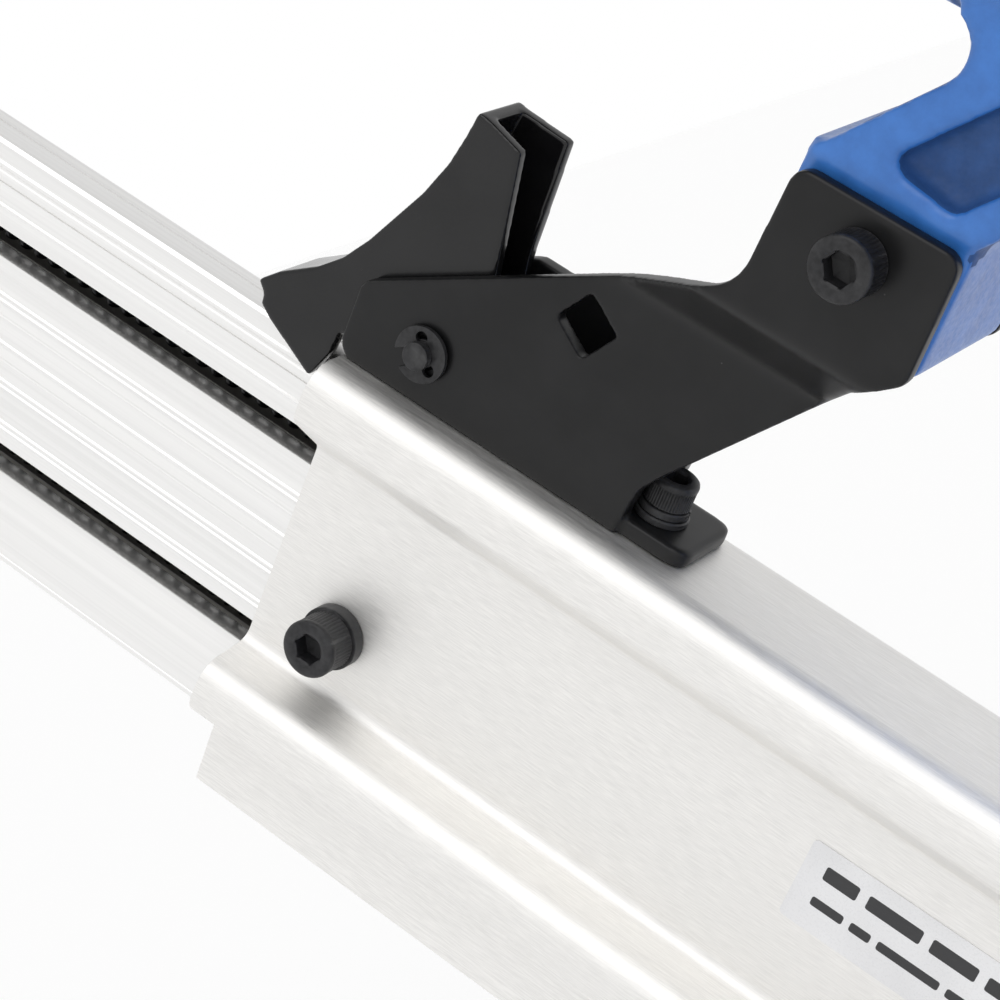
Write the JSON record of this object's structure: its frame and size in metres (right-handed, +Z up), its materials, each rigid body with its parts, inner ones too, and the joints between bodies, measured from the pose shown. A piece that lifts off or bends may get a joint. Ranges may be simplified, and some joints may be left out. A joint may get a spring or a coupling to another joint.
{
  "type": "flooring nailer",
  "caption": "Mallet-struck pneumatic flooring nailer with a slanted magazine whose ribbed rail slides out, a latch bracket, a long gripped handle and a flat shoe.",
  "frame": {"origin": "middle of the base pad's underside, in the mid-plane of the handle", "axes": "+Z up from the floor; +X from the nose back towards the rear of the shoe; the driver axis and the magazine lie in the XZ plane at 45 degrees"},
  "size_m": [0.4623, 0.0882, 0.3986],
  "materials": {
    "blue_paint": "satin",
    "dark_casting": "satin",
    "black_plate": "satin",
    "black_screw": "satin",
    "steel": "satin",
    "hard_steel": "satin",
    "spring_steel": "satin",
    "extrusion": "satin",
    "cast_aluminium": "satin",
    "brass": "satin",
    "grip_rubber": "matte",
    "seal_rubber": "matte",
    "white_plastic": "matte",
    "black_plastic": "matte",
    "amber_pad": "satin",
    "label": "satin"
  },
  "bodies": {
    "tool": {"housing": "blue_paint", "cylinder_sleeve": "cast_aluminium", "bumper": "seal_rubber", "head_gasket": "seal_rubber", "head_cap": "dark_casting", "head_cap_screws": "black_screw", "nose_front_plate": "hard_steel", "nose_back_plate": "hard_steel", "nose_screws": "black_screw", "flange_screws": "black_screw", "shoe": "cast_aluminium", "base_pad": "black_plastic", "shoe_screws": "black_screw", "cheek_screws": "black_screw", "magazine_cover": "extrusion", "magazine_blocks": "dark_casting", "block_screws": "black_screw", "nut_plate": "steel", "rail_guide": "white_plastic", "cover_screw": "black_screw", "cover_washer": "black_screw", "label": "label", "bracket": "black_plate", "foot_screw": "black_screw", "foot_washers": "black_screw", "handle_bolt": "black_screw", "handle_nut": "black_screw", "latch_pin": "black_screw", "e_clips": "black_screw", "latch_spring": "spring_steel", "handle_grip": "grip_rubber", "handle_end_cap": "cast_aluminium", "air_plug": "brass", "plug_seal": "seal_rubber"},
    "driver": {"piston": "cast_aluminium", "piston_ring": "seal_rubber", "driver_blade": "hard_steel"},
    "valve": {"main_valve": "black_plastic"},
    "deflector": {"exhaust_deflector": "black_plastic"},
    "striker": {"strike_stem": "steel", "strike_cap": "black_plastic", "strike_anvil": "amber_pad", "strike_spring": "spring_steel"},
    "rail": {"rail": "extrusion", "rail_end_cap": "black_plastic", "end_cap_screws": "steel", "guide_rods": "steel", "staple_strip": "steel", "upper_spring": "spring_steel", "lower_spring": "spring_steel"},
    "pusher": {"pusher": "steel"},
    "latch": {"latch_lever": "black_plate"}
  },
  "joints": [
    {"name": "driver_slide", "type": "slide", "parent": "tool", "child": "driver", "axis": [0.7071, 0, -0.7071], "range_m": [0, 0.0795]},
    {"name": "valve_lift", "type": "slide", "parent": "tool", "child": "valve", "axis": [-0.7071, 0, 0.7071], "range_m": [0, 0.004], "stiffness_N_per_m": 800, "springref_m": -0.004},
    {"name": "strike_slide", "type": "slide", "parent": "tool", "child": "striker", "axis": [0.7071, 0, -0.7071], "range_m": [0, 0.007], "stiffness_N_per_m": 1500, "springref_m": -0.005, "deforming": ["strike_spring"]},
    {"name": "deflector_turn", "type": "hinge", "parent": "tool", "child": "deflector", "pos_m": [-0.22969, 0, 0.18809], "axis": [-0.7071, 0, 0.7071], "continuous": true},
    {"name": "rail_slide", "type": "slide", "parent": "tool", "child": "rail", "axis": [0.7071, 0, 0.7071], "range_m": [-0.1, 0]},
    {"name": "pusher_slide", "type": "slide", "parent": "rail", "child": "pusher", "axis": [0.7071, 0, 0.7071], "range_m": [0, 0.06], "stiffness_N_per_m": 60, "springref_m": -0.05, "deforming": ["upper_spring", "lower_spring"]},
    {"name": "latch_pivot", "type": "hinge", "parent": "tool", "child": "latch", "pos_m": [0.03632, 0, 0.21411], "axis": [0, -1, 0], "range_deg": [-5, 25], "stiffness_Nm_per_rad": 0.3}
  ]
}
